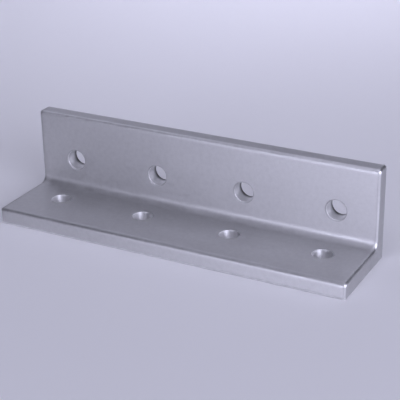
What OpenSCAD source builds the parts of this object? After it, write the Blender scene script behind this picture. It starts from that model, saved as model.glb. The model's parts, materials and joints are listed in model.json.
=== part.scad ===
// Angle bracket for bolting framing beams together at a right angle.
// One length of equal-leg aluminium extrusion: sawn square, drilled with a row
// of plain bolt holes in each leg, tumbled to take off the sharp edges, and
// anodised. It stands on its base leg, and the wall leg rises at the back.
// X runs along the length, and the inside of the angle faces -Y and +Z.
// The origin is on the floor, under the middle of the outer box.

/* [Legs] */
// Length between the sawn ends
bracket_length = 155; // [150:1:260]
// Depth of the base leg, from the outer corner to its front edge
base_depth = 40; // [32:0.5:60]
// Height of the wall leg, from the outer corner to its top edge
wall_height = 40; // [32:0.5:60]
// Thickness of the base leg
base_thickness = 7.2; // [4:0.1:10]
// Thickness of the wall leg
wall_thickness = 7.2; // [4:0.1:10]

/* [Edges] */
// Radius of the long outer edges, left by the extrusion die
edge_radius = 1.5; // [1.2:0.1:1.9]
// Radius of the fillet in the inside corner
fillet_radius = 3; // [1.5:0.25:6]
// Radius of the tumbled edge that runs round each sawn end
end_radius = 1; // [0.3:0.1:1.1]

/* [Holes] */
// Number of bolt holes in each leg
hole_count = 4; // [1:1:4]
// Distance from one hole to the next
hole_pitch = 40; // [16:1:46]
// Diameter of a bolt hole
hole_diameter = 8.4; // [4:0.1:10]
// Width of the broken edge at both mouths of a hole
hole_break = 0.5; // [0.2:0.05:1]
// Distance from the outer corner to the row of holes in the base leg
base_row = 20; // [18:0.5:25]
// Distance from the outer corner to the row of holes in the wall leg
wall_row = 20; // [18:0.5:25]

/* [Hidden] */

$fn = 96;
// How far a cutter runs past the face that it cuts
past = 1;

// The outer box is centred on the origin from front to back
front_y = -base_depth / 2;
back_y = base_depth / 2;
// Inside faces of the two legs
inside_y = back_y - wall_thickness;
inside_z = base_thickness;

// Corners of the L section as [y, z], anticlockwise from the front foot
corners = [
    [front_y, 0],
    [back_y, 0],
    [back_y, wall_height],
    [inside_y, wall_height],
    [inside_y, inside_z],
    [front_y, inside_z]
];
// Radius at each of those corners
radii = [edge_radius, edge_radius, edge_radius, edge_radius, fillet_radius, edge_radius];
last = len(corners) - 1;

// The tumbled edge stays smaller than the corners that it runs round
end_round = min(end_radius, edge_radius - 0.1);

// Rows of holes, centred on the length
row_y = back_y - base_row;
row_z = wall_row;
first_x = -hole_pitch * (hole_count - 1) / 2;

// Corners on either side of corner i
function after(i) = i == last ? 0 : i + 1;
function before(i) = i == 0 ? last : i - 1;
// Length of the side from corner i to the next, and its direction
function side(i) = norm(corners[after(i)] - corners[i]);
function heading(i) = (corners[after(i)] - corners[i]) / side(i);
// A corner is convex where the outline turns left
function convex(i) = cross(heading(before(i)), heading(i)) > 0;
// Centre of the arc that rounds corner i
function centre(i) = corners[i] + radii[i] * (heading(i) - heading(before(i)));
// Direction in which that arc starts, seen from its centre
function arc_start(i) = convex(i) ? -heading(i) : heading(before(i));

// The bit between a sharp corner and its arc: waste on a convex corner, and the
// body of the fillet on the inside one
module corner_bit(i) {
    tip = corners[i] + past * (heading(before(i)) - heading(i));
    difference() {
        translate([min(centre(i)[0], tip[0]), min(centre(i)[1], tip[1])]) {
            square([radii[i] + past, radii[i] + past]);
        }
        translate(centre(i)) {
            circle(r = radii[i]);
        }
    }
}

// L section, with Y to the right and Z up
module section() {
    difference() {
        union() {
            polygon(corners);
            for (i = [0:last]) {
                if (!convex(i)) {
                    corner_bit(i);
                }
            }
        }
        for (i = [0:last]) {
            if (convex(i)) {
                corner_bit(i);
            }
        }
    }
}

// Waste over a rounded edge at the origin, with the material to the left and below
module edge_waste() {
    difference() {
        translate([-end_round, -end_round]) {
            square([end_round + past, end_round + past]);
        }
        translate([-end_round, -end_round]) {
            circle(r = end_round);
        }
    }
}

// Waste along the straight part of side i, with the sawn face at z = 0
module side_waste(i) {
    start = corners[i] + radii[i] * heading(i);
    translate([start[0], start[1], 0]) {
        rotate([0, 0, atan2(heading(i)[1], heading(i)[0])]) {
            rotate([90, 0, 90]) {
                linear_extrude(height = side(i) - radii[i] - radii[after(i)]) {
                    mirror([1, 0]) {
                        edge_waste();
                    }
                }
            }
        }
    }
}

// Waste round the arc of corner i, with the sawn face at z = 0
module arc_waste(i) {
    translate([centre(i)[0], centre(i)[1], 0]) {
        rotate([0, 0, atan2(arc_start(i)[1], arc_start(i)[0])]) {
            rotate_extrude(angle = 90) {
                translate([radii[i], 0]) {
                    mirror([convex(i) ? 0 : 1, 0]) {
                        edge_waste();
                    }
                }
            }
        }
    }
}

// The tumbled edge follows the whole outline of a sawn end
module end_waste() {
    translate([bracket_length / 2, 0, 0]) {
        rotate([90, 0, 90]) {
            for (i = [0:last]) {
                side_waste(i);
                arc_waste(i);
            }
        }
    }
}

// A bolt hole up through a leg that lies on z = 0, with both mouths broken
module bolt_hole(thickness) {
    wall_r = hole_diameter / 2;
    mouth_r = wall_r + hole_break + past;
    rotate_extrude() {
        polygon([
            [0, -past],
            [mouth_r, -past],
            [wall_r, hole_break],
            [wall_r, thickness - hole_break],
            [mouth_r, thickness + past],
            [0, thickness + past]
        ]);
    }
}

// The pairs of holes in the two legs share their places along the length
module bolt_holes() {
    for (i = [0:hole_count - 1]) {
        translate([first_x + i * hole_pitch, row_y, 0]) {
            bolt_hole(base_thickness);
        }
        translate([first_x + i * hole_pitch, back_y, row_z]) {
            rotate([90, 0, 0]) {
                bolt_hole(wall_thickness);
            }
        }
    }
}

module angle_bracket() {
    color([0.70, 0.71, 0.75]) {
        difference() {
            rotate([90, 0, 90]) {
                translate([0, 0, -bracket_length / 2]) {
                    linear_extrude(height = bracket_length) {
                        section();
                    }
                }
            }
            end_waste();
            mirror([1, 0, 0]) {
                end_waste();
            }
            bolt_holes();
        }
    }
}

angle_bracket();
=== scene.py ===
"""Angle bracket of satin anodised aluminium, on a pale floor in soft studio light.

Metres, in the CAD frame: X runs along the bracket, and the inside of the angle
faces -Y and +Z. The material's nodes work in millimetres.
"""

import json
import math

import bpy
from mathutils import Matrix, Vector


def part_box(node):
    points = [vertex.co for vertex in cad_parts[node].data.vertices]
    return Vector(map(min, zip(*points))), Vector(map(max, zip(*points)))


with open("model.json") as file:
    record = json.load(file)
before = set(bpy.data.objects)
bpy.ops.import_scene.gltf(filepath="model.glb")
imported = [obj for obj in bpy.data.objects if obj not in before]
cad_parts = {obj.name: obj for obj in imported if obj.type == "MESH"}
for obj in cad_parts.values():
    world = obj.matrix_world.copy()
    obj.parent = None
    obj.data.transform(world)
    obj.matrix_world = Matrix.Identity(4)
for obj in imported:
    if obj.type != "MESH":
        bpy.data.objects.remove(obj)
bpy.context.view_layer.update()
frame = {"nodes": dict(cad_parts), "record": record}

MM = 0.001
NODE = "angle_bracket"

low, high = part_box(NODE)
middle = (low + high) / 2
half_length = (high.x - low.x) / 2

# Bolt holes in mm, from the record's mounts. Each row is an outer and an inner
# pair, at the same distances either side of the middle in both legs.
mounts = {m["name"]: m for m in frame["record"]["mounts"]}
HOLES_AT = [
    mounts[name]["dims"]["spacing_x_mm"] / 2
    for name in ("base_outer_bolts", "base_inner_bolts")
]
HOLE_RADIUS = mounts["base_outer_bolts"]["dims"]["hole_r_mm"]
BASE_ROW_Y = mounts["base_outer_bolts"]["pos_m"][1] / MM
WALL_ROW_Z = mounts["wall_outer_bolts"]["pos_m"][2] / MM


def direction(azimuth, elevation):
    """Unit vector out from the bracket, for angles in degrees.

    Azimuth 0 is in front of the base leg's edge, and 90 is off the +X end.
    """
    a, e = math.radians(azimuth), math.radians(elevation)
    return Vector((math.sin(a) * math.cos(e), -math.cos(a) * math.cos(e), math.sin(e)))


# ---------------------------------------------------------------------------
# Camera
# ---------------------------------------------------------------------------

# Fitted to the photograph, in degrees and metres
AZIMUTH, ELEVATION, ROLL = 28.0, 24.05, -0.87
DISTANCE = 0.4912
AIM = middle + Vector((5.8, 2.2, -1.8)) * MM
SENSOR_MM, LENS_MM = 36.0, 110.05
CLIP_NEAR, CLIP_FAR = 0.01, 20.0


def make_camera():
    """Puts the camera at the photograph's angle and makes it the scene's."""
    azimuth, roll = math.radians(AZIMUTH), math.radians(ROLL)
    back = direction(AZIMUTH, ELEVATION)
    right = Vector((math.cos(azimuth), math.sin(azimuth), 0))
    up = back.cross(right)
    c, s = math.cos(roll), math.sin(roll)
    turned = Matrix((right * c + up * s, up * c - right * s, back)).transposed()

    data = bpy.data.cameras.new("camera")
    data.sensor_width, data.lens = SENSOR_MM, LENS_MM
    data.clip_start, data.clip_end = CLIP_NEAR, CLIP_FAR
    camera = bpy.data.objects.new("camera", data)
    camera.matrix_world = Matrix.Translation(AIM + back * DISTANCE) @ turned.to_4x4()
    bpy.context.scene.collection.objects.link(camera)
    bpy.context.scene.camera = camera


# ---------------------------------------------------------------------------
# Node helpers
# ---------------------------------------------------------------------------


class Graph:
    """Adds the nodes of a material and links them."""

    def __init__(self, tree):
        self.tree = tree

    def node(self, kind, inputs=None, **settings):
        """Adds a node. An input is a value or another node's output socket."""
        made = self.tree.nodes.new(kind)
        for name, value in settings.items():
            setattr(made, name, value)
        for key, value in (inputs or {}).items():
            if isinstance(value, bpy.types.NodeSocket):
                self.tree.links.new(value, made.inputs[key])
            else:
                made.inputs[key].default_value = value
        return made

    def math(self, operation, a, b=0.0, c=0.0, clamp=False):
        return self.node(
            "ShaderNodeMath", {0: a, 1: b, 2: c}, operation=operation, use_clamp=clamp
        ).outputs[0]

    def unsigned(self, value):
        return self.math("ABSOLUTE", value)

    def step(self, value, start, end):
        """0 before start, 1 past end, and smooth between. End may be the lower one."""
        return self.node(
            "ShaderNodeMapRange",
            {"Value": value, "From Min": start, "From Max": end},
            interpolation_type="SMOOTHSTEP",
        ).outputs["Result"]

    def either(self, a, b):
        """What lies in one zone or the other."""
        return self.math("MAXIMUM", a, b)

    def both(self, a, b):
        """What lies in two zones at once."""
        return self.math("MULTIPLY", a, b)

    def outside(self, zone):
        """What doesn't lie in a zone."""
        return self.math("SUBTRACT", 1.0, zone)

    def vector(self, operation, a, b=(0, 0, 0)):
        return self.node(
            "ShaderNodeVectorMath", {0: a, 1: b}, operation=operation
        ).outputs["Vector"]

    def scaled(self, vector, factor):
        return self.node(
            "ShaderNodeVectorMath", {0: vector, "Scale": factor}, operation="SCALE"
        ).outputs["Vector"]

    def split(self, vector):
        """The X, Y and Z of a vector, by name."""
        return self.node("ShaderNodeSeparateXYZ", {0: vector}).outputs

    def joined(self, **parts):
        """A vector from its X, Y and Z, which are 0 where left out."""
        return self.node("ShaderNodeCombineXYZ", parts).outputs["Vector"]

    def to_world(self, vector):
        """Turns a direction in the object's frame into one in the world's."""
        return self.node(
            "ShaderNodeVectorTransform",
            {"Vector": vector},
            vector_type="VECTOR",
            convert_from="OBJECT",
            convert_to="WORLD",
        ).outputs["Vector"]

    def noise(self, where, scale, detail, roughness):
        """Noise with features about 1/scale across, less 0.5 so that it varies round 0."""
        made = self.node(
            "ShaderNodeTexNoise",
            {"Vector": where, "Scale": scale, "Detail": detail, "Roughness": roughness},
        )
        return self.math("SUBTRACT", made.outputs["Fac"], 0.5)

    def weighed(self, parts, weights, start=0.0):
        """Start, plus each named part times its weight."""
        total = start
        for name, weight in weights.items():
            total = self.math("MULTIPLY_ADD", parts[name], weight, total)
        return total


# ---------------------------------------------------------------------------
# Finish
# ---------------------------------------------------------------------------

BASE_COLOUR = (0.57, 0.57, 0.57)
BASE_ROUGHNESS = 0.50

# Where each zone of the surface starts and where it is whole, in mm. Heights are
# above the underside. The others are distances from an end, from a bore's wall,
# from the outer face where a bore comes out, and out of the outer box, which are
# less than 0 inside it.
TOP_HEIGHT = (12.0, 30.0)
FOOT_HEIGHT = (3.2, 2.2)
WALL_HOLE_HEIGHT = (8.0, 9.0)
END_EDGE_FROM_END = (1.1, 0.3)
END_FACE_FROM_END = (0.2, 0.05)
BORE_REACH = (0.12, 0.04)
MOUTH_REACH = (1.0, 0.7)
BESIDE_HOLE_REACH = (4.0, 3.0)
DEEP_FROM_FACE = (2.9, 0.6)
EDGE_OUT_OF_BOX = (-1.9, -1.4)
# The same for how squarely the surface faces along an axis, from 0 to 1
EDGE_TURN = (0.1, 0.5)
END_EDGE_TURN = (1.0, 0.8)
END_FACE_TURN = (0.9, 1.0)
MOUTH_TURN = (0.95, 0.8)
DRAWN_TURN = (0.3, 0.05)

# Each pattern's noise: scale per mm, detail and roughness
NOISES = {
    "cloud": (0.035, 3.0, 0.55),
    "blotch": (0.22, 2.0, 0.5),
    "mottle": (0.55, 2.0, 0.6),
    "grain": (4.2, 2.0, 0.6),
    "streak": (1.0, 3.0, 0.6),
    "saw": (2.2, 3.0, 0.6),
    "rings": (5.0, 2.0, 0.6),
}
# Squeezes place along X, so that the die lines come out long
STREAK_SQUEEZE = (0.012, 1.3, 1.3)
# Centre of the saw blade's arcs, in mm
BLADE_CENTRE = (0, -90, 160)

# What each pattern and zone adds to the colour, as a share of it
SHADE = {
    "cloud": 0.10,
    "blotch": 0.05,
    "mottle": 0.30,
    "grain": 0.08,
    "streak": 0.07,
    "saw": 0.10,
    # Painted shade: the rounded long edges are darkened, standing in for the dark band
    # that they reflect
    "long_edge": -0.15,
    # Painted highlight: the wall leg's top edges are lightened
    "top_edge": 0.42,
    # Painted light: the edges along the foot, which face the shaded floor, are lightened
    "foot_edge": 0.65,
    # Painted shade: the broken edges at the wall holes' mouths are darkened, against the
    # light that they catch
    "wall_mouth": -0.20,
    # Partly the brighter burnished metal of the rounded ends, partly a painted highlight
    "end_edge": 0.45,
    # Partly the brighter bare metal of the drilled bores, partly a painted highlight,
    # stronger in the base leg's bores than in the wall leg's
    "base_bore": 0.95,
    "wall_bore": 0.50,
    # Painted shade: the far end of each bore is darkened
    "deep": -1.25,
}
# To the roughness
ROUGHNESS = {
    "cloud": 0.12,
    "blotch": 0.08,
    "mottle": 0.34,
    "grain": 0.14,
    "streak": 0.14,
    "saw": 0.20,
    "long_edge": -0.05,
    "mouth": 0.10,
    "end_edge": -0.12,
    "base_bore": 0.12,
    "wall_bore": 0.08,
}
# To the height of the fine relief, in mm
RELIEF = {
    "grain": 0.012,
    "mottle": 0.010,
    "streak": 0.004,
    "saw": 0.012,
    "blotch": 0.004,
    "rings": 0.010,
}
# And to how far reflections are drawn out, from 0 to 1
SPREAD = {"drawn": 0.60, "base_bore": 0.88, "wall_bore": 0.60}

# How far tumbling carries the shading of the edges on to the flats, in mm
EDGE_SOFT = 2.0
EDGE_SAMPLES = 8
# Weight of the flat face's direction in the normal at a worn hole mouth
MOUTH_PULL = 3.0


def edge_zones(g, at, facing):
    """The rounded edges, and the sawn ends inside them."""
    # A long edge faces two ways and lies on the outer box
    two_ways = g.math("MINIMUM", facing["Y"], facing["Z"])
    out_of_box = g.math(
        "MAXIMUM",
        g.math("SUBTRACT", g.unsigned(at["Y"]), high.y / MM),
        g.math("SUBTRACT", at["Z"], high.z / MM),
    )
    long_edge = g.both(g.step(two_ways, *EDGE_TURN), g.step(out_of_box, *EDGE_OUT_OF_BOX))
    foot = g.step(at["Z"], *FOOT_HEIGHT)
    from_end = g.math("SUBTRACT", half_length / MM, g.unsigned(at["X"]))
    return {
        "long_edge": long_edge,
        "top_edge": g.both(long_edge, g.step(at["Z"], *TOP_HEIGHT)),
        "foot": foot,
        "foot_edge": g.both(long_edge, foot),
        "end_edge": g.both(
            g.step(from_end, *END_EDGE_FROM_END), g.step(facing["X"], *END_EDGE_TURN)
        ),
        "end_face": g.both(
            g.step(from_end, *END_FACE_FROM_END), g.step(facing["X"], *END_FACE_TURN)
        ),
    }


def hole_zones(g, at, facing):
    """The bores, their deep ends, and the broken edges at their mouths."""
    outer, inner = (
        g.unsigned(g.math("SUBTRACT", g.unsigned(at["X"]), hole_x))
        for hole_x in HOLES_AT
    )
    along = g.math("MINIMUM", outer, inner)
    along_squared = g.math("MULTIPLY", along, along)
    from_axes = [
        g.math("SQRT", g.math("MULTIPLY_ADD", off, off, along_squared))
        for off in (
            g.math("SUBTRACT", at["Y"], BASE_ROW_Y),
            g.math("SUBTRACT", at["Z"], WALL_ROW_Z),
        )
    ]

    def near_bores(start, end):
        """A zone round the bores of the base leg, and one round the wall leg's."""
        return [
            g.step(axis, HOLE_RADIUS + start, HOLE_RADIUS + end) for axis in from_axes
        ]

    base_bore, wall_bore = near_bores(*BORE_REACH)
    bore = g.either(base_bore, wall_bore)
    # The far end of a bore, where it comes out of its leg's outer face, which is darkened
    # as painted shade
    from_underside = g.math("SUBTRACT", at["Z"], low.z / MM)
    from_back = g.math("SUBTRACT", high.y / MM, at["Y"])
    deep = g.either(
        g.both(base_bore, g.step(from_underside, *DEEP_FROM_FACE)),
        g.both(wall_bore, g.step(from_back, *DEEP_FROM_FACE)),
    )
    # A broken edge is just outside a bore, and aslant
    rim = g.both(g.either(*near_bores(*MOUTH_REACH)), g.outside(bore))
    aslant = g.step(g.math("MAXIMUM", facing["Y"], facing["Z"]), *MOUTH_TURN)
    mouth = g.both(rim, aslant)
    wall_mouth = g.both(mouth, g.step(at["Z"], *WALL_HOLE_HEIGHT))
    return {
        "base_bore": base_bore,
        "wall_bore": wall_bore,
        "bore": bore,
        "deep": deep,
        "mouth": mouth,
        "base_mouth": g.math("SUBTRACT", mouth, wall_mouth),
        "wall_mouth": wall_mouth,
        "beside_hole": g.either(*near_bores(*BESIDE_HOLE_REACH)),
    }


def patterns(g, place, at, zones):
    """The blasted surface, die lines, a saw blade's arcs and a drill's rings."""
    made = {
        name: g.noise(place, *NOISES[name])
        for name in ("cloud", "blotch", "mottle", "grain")
    }
    lines = g.noise(g.vector("MULTIPLY", place, STREAK_SQUEEZE), *NOISES["streak"])
    made["streak"] = g.math("MULTIPLY", lines, zones["drawn"])
    # The arcs go by distance from the blade's centre, in the plane of the ends
    from_blade = g.node(
        "ShaderNodeVectorMath",
        {0: g.vector("MULTIPLY", place, (0, 1, 1)), 1: BLADE_CENTRE},
        operation="DISTANCE",
    ).outputs["Value"]
    arcs = g.noise(g.joined(X=from_blade), *NOISES["saw"])
    made["saw"] = g.math("MULTIPLY", arcs, zones["end_face"])
    # The rings go by depth in the bore, which is Y in the wall leg and Z in the base
    y_less_z = g.math("SUBTRACT", at["Y"], at["Z"])
    depth = g.math("MULTIPLY_ADD", y_less_z, zones["wall_bore"], at["Z"])
    rings = g.noise(g.joined(X=depth), *NOISES["rings"])
    made["rings"] = g.math("MULTIPLY", rings, zones["bore"])
    return made


def worn_normal(g, normal, zones, relief):
    """The normal with softened edges, worn mouths and the fine relief."""
    # The holes and the foot, which meets the floor, keep their own shading
    kept = g.either(zones["beside_hole"], zones["foot"])
    radius = g.math("MULTIPLY", g.outside(kept), EDGE_SOFT * MM)
    soft = g.node("ShaderNodeBevel", {"Radius": radius}, samples=EDGE_SAMPLES)
    ahead = g.split(normal)
    face = g.joined(
        Y=g.math("MULTIPLY", g.math("SIGN", ahead["Y"]), zones["wall_mouth"]),
        Z=g.math("MULTIPLY", g.math("SIGN", ahead["Z"]), zones["base_mouth"]),
    )
    pull = g.scaled(g.to_world(face), MOUTH_PULL)
    worn = g.vector("NORMALIZE", g.vector("ADD", soft.outputs["Normal"], pull))
    return g.node(
        "ShaderNodeBump",
        {"Strength": 1.0, "Distance": MM, "Height": relief, "Normal": worn},
    ).outputs["Normal"]


def spread_direction(g, normal, zones):
    """Across the length on the drawn faces, and along the axis in a bore."""
    across = g.vector("CROSS_PRODUCT", normal, (1, 0, 0))
    across = g.scaled(across, g.outside(zones["bore"]))
    axis = g.joined(Y=zones["wall_bore"], Z=zones["base_bore"])
    return g.to_world(g.vector("ADD", across, axis))


def aluminium():
    """Satin anodised aluminium.

    It has blasted grain, faint die lines along the length, saw marks on the ends, drill
    rings in the bores, and edges that tumbling has burnished. Its colour also holds
    painted shade and painted highlights on the edges, at the wall holes' mouths and in the
    bores.
    """
    material = bpy.data.materials.new("satin_anodised_aluminium")
    material.use_nodes = True
    g = Graph(material.node_tree)
    g.tree.nodes.clear()

    coords = g.node("ShaderNodeTexCoord").outputs
    place = g.scaled(coords["Object"], 1 / MM)
    at = g.split(place)
    facing = g.split(g.vector("ABSOLUTE", coords["Normal"]))

    zones = {**edge_zones(g, at, facing), **hole_zones(g, at, facing)}
    # The faces as the die left them, neither sawn, drilled nor rounded
    reworked = g.either(zones["bore"], g.either(zones["long_edge"], zones["mouth"]))
    zones["drawn"] = g.both(g.step(facing["X"], *DRAWN_TURN), g.outside(reworked))
    parts = {**zones, **patterns(g, place, at, zones)}

    rough = g.weighed(parts, ROUGHNESS)
    relief = g.weighed(parts, RELIEF)
    shader = g.node(
        "ShaderNodeBsdfPrincipled",
        {
            "Base Color": g.scaled(BASE_COLOUR, g.weighed(parts, SHADE, 1.0)),
            "Metallic": 1.0,
            "Roughness": g.math("ADD", rough, BASE_ROUGHNESS, clamp=True),
            "Anisotropic": g.weighed(parts, SPREAD),
            "Tangent": spread_direction(g, coords["Normal"], zones),
            "Normal": worn_normal(g, coords["Normal"], zones, relief),
        },
    )
    g.node("ShaderNodeOutputMaterial", {"Surface": shader.outputs[0]})
    return material


# ---------------------------------------------------------------------------
# Stage
# ---------------------------------------------------------------------------

FLOOR_COLOUR = (0.85, 0.85, 0.85)
FLOOR_ROUGHNESS = 0.7
FLOOR_SIZE = 6.0
# Keeps the underside out of the very plane of the floor
FLOOR_GAP = 0.02 * MM

# The blue violet tint that the whole photograph has
LIGHT_COLOUR = (0.789, 0.789, 1.0)
LIGHT_DISTANCE = 1.2
# Azimuth and elevation from the bracket in degrees, width, height and watts
LIGHTS = {
    "key": (58, 20, 0.7, 0.4, 6.37),
    "key_low": (58, 12, 0.7, 0.3, 1.35),
    "right_low": (90, 8, 0.5, 0.3, 2.76),
    "front_low": (-8, 4.5, 0.5, 0.18, 4.90),
    "back_low": (-155, 8, 0.8, 0.3, 1.24),
    "back_left_high": (-120, 47, 0.5, 0.5, 0.94),
    "front_high": (20, 60, 1.0, 0.6, 3.11),
    "overhead": (0, 90, 1.0, 1.0, 1.67),
}
# Square lamps over the floor behind the bracket: place, aim, side, spread in
# degrees and watts
BACKDROPS = {
    "backdrop_near": ((-0.1, 0.5, 0.9), (-0.15, 0.4, 0.0), 0.5, 60, 0.18),
    "backdrop_far": ((-0.1, 0.65, 0.9), (-0.15, 0.5, 0.0), 0.4, 50, 0.48),
}
SURROUND_STRENGTH = 0.0989


def panel(name, place, aim, wide, tall, watts):
    """Hangs a soft rectangle of light, out of the camera's sight."""
    data = bpy.data.lights.new(name, "AREA")
    data.shape = "RECTANGLE"
    data.size, data.size_y = wide, tall
    data.energy, data.color = watts, LIGHT_COLOUR
    lamp = bpy.data.objects.new(name, data)
    lamp.location = place
    lamp.rotation_mode = "QUATERNION"
    lamp.rotation_quaternion = (place - aim).to_track_quat("Z", "Y")
    lamp.visible_camera = False
    bpy.context.scene.collection.objects.link(lamp)
    return data


def make_floor():
    """A plain pale floor under the bracket."""
    half = FLOOR_SIZE / 2
    corners = [(-half, -half, 0), (half, -half, 0), (half, half, 0), (-half, half, 0)]
    mesh = bpy.data.meshes.new("floor")
    mesh.from_pydata(corners, [], [(0, 1, 2, 3)])
    paint = bpy.data.materials.new("floor_paint")
    paint.use_nodes = True
    shader = paint.node_tree.nodes["Principled BSDF"]
    shader.inputs["Base Color"].default_value = (*FLOOR_COLOUR, 1)
    shader.inputs["Roughness"].default_value = FLOOR_ROUGHNESS
    mesh.materials.append(paint)
    floor = bpy.data.objects.new("floor", mesh)
    floor.location.z = low.z - FLOOR_GAP
    bpy.context.scene.collection.objects.link(floor)


def make_lights():
    """Soft panels round the bracket and over the floor, in an even surround."""
    for name, (azimuth, elevation, wide, tall, watts) in LIGHTS.items():
        place = middle + direction(azimuth, elevation) * LIGHT_DISTANCE
        panel(name, place, middle, wide, tall, watts)
    for name, (place, aim, side, spread, watts) in BACKDROPS.items():
        lamp = panel(name, Vector(place), Vector(aim), side, side, watts)
        lamp.spread = math.radians(spread)

    world = bpy.data.worlds.new("surround")
    world.use_nodes = True
    background = world.node_tree.nodes["Background"]
    background.inputs["Color"].default_value = (*LIGHT_COLOUR, 1)
    background.inputs["Strength"].default_value = SURROUND_STRENGTH
    bpy.context.scene.world = world
    bpy.context.scene.view_settings.view_transform = "Standard"


make_camera()
make_floor()
make_lights()
frame["nodes"][NODE].material_slots[0].material = aluminium()

bpy.context.view_layer.update()
